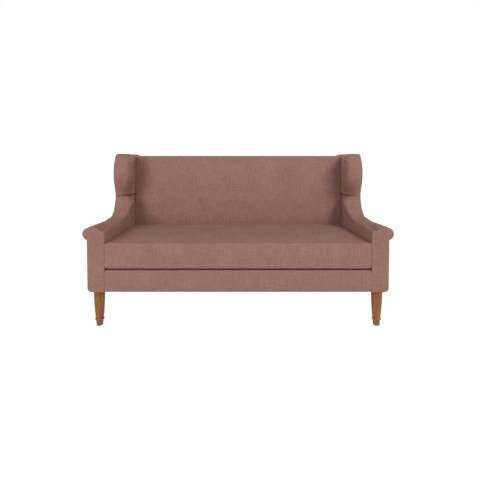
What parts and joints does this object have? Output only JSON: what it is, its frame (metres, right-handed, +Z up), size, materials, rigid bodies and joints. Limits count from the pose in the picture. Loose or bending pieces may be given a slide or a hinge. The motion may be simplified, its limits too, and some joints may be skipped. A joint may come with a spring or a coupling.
{
  "type": "high back settee",
  "caption": "Wing back settee with low scroll arms, a loose bench seat cushion, a plain high back and tapered wooden legs.",
  "frame": {"origin": "on the floor, under the middle of the settee's box", "axes": "+X towards the right arm as seen from in front, -Y out of the front of the seat, +Z up"},
  "size_m": [1.696, 0.7672, 0.975],
  "materials": {
    "rose_cloth": "plain woven upholstery cloth, pink brown",
    "beech": "bare planed beech",
    "leg_wood": "mid brown satin lacquer",
    "spring_steel": "bright drawn wire and pressed steel",
    "deck_felt": "needled felt",
    "black_cambric": "thin black lining cloth",
    "elastic_webbing": "woven elastic band"
  },
  "bodies": {
    "settee_body": {"left_arm_padding": "rose_cloth", "right_arm_padding": "rose_cloth", "left_wing_padding": "rose_cloth", "right_wing_padding": "rose_cloth", "left_outside_wing_panel": "rose_cloth", "right_outside_wing_panel": "rose_cloth", "left_outside_arm_panel": "rose_cloth", "right_outside_arm_panel": "rose_cloth", "left_arm_facing": "rose_cloth", "right_arm_facing": "rose_cloth", "inside_back": "rose_cloth", "outside_back": "rose_cloth", "front_border": "rose_cloth", "left_front_arm_post": "beech", "right_front_arm_post": "beech", "left_side_seat_rail": "beech", "right_side_seat_rail": "beech", "left_arm_top_rail": "beech", "right_arm_top_rail": "beech", "left_wing_board": "beech", "right_wing_board": "beech", "left_back_post": "beech", "right_back_post": "beech", "back_top_rail": "beech", "back_tack_rail": "beech", "back_seat_rail": "beech", "back_centre_upright": "beech", "front_seat_rail": "beech", "centre_stretcher": "beech", "left_front_corner_block": "beech", "right_front_corner_block": "beech", "left_rear_corner_block": "beech", "right_rear_corner_block": "beech", "left_front_leg": "leg_wood", "right_front_leg": "leg_wood", "left_rear_leg": "leg_wood", "right_rear_leg": "leg_wood", "left_front_leg_bolt_plate": "spring_steel", "right_front_leg_bolt_plate": "spring_steel", "left_rear_leg_bolt_plate": "spring_steel", "right_rear_leg_bolt_plate": "spring_steel", "seat_spring_1": "spring_steel", "seat_spring_2": "spring_steel", "seat_spring_3": "spring_steel", "seat_spring_4": "spring_steel", "seat_spring_5": "spring_steel", "seat_spring_6": "spring_steel", "seat_spring_7": "spring_steel", "seat_spring_8": "spring_steel", "front_spring_clip_strip": "spring_steel", "rear_spring_clip_strip": "spring_steel", "spring_tie_wire": "spring_steel", "seat_deck": "deck_felt", "dust_cover": "black_cambric", "back_webbing_1": "elastic_webbing", "back_webbing_2": "elastic_webbing", "back_webbing_3": "elastic_webbing"},
    "cushion": {"seat_cushion": "rose_cloth"}
  },
  "joints": [
    {"name": "seat_cushion_lift", "type": "slide", "parent": "settee_body", "child": "cushion", "axis": [0, 0, 1], "range_m": [0, 0.66]}
  ]
}
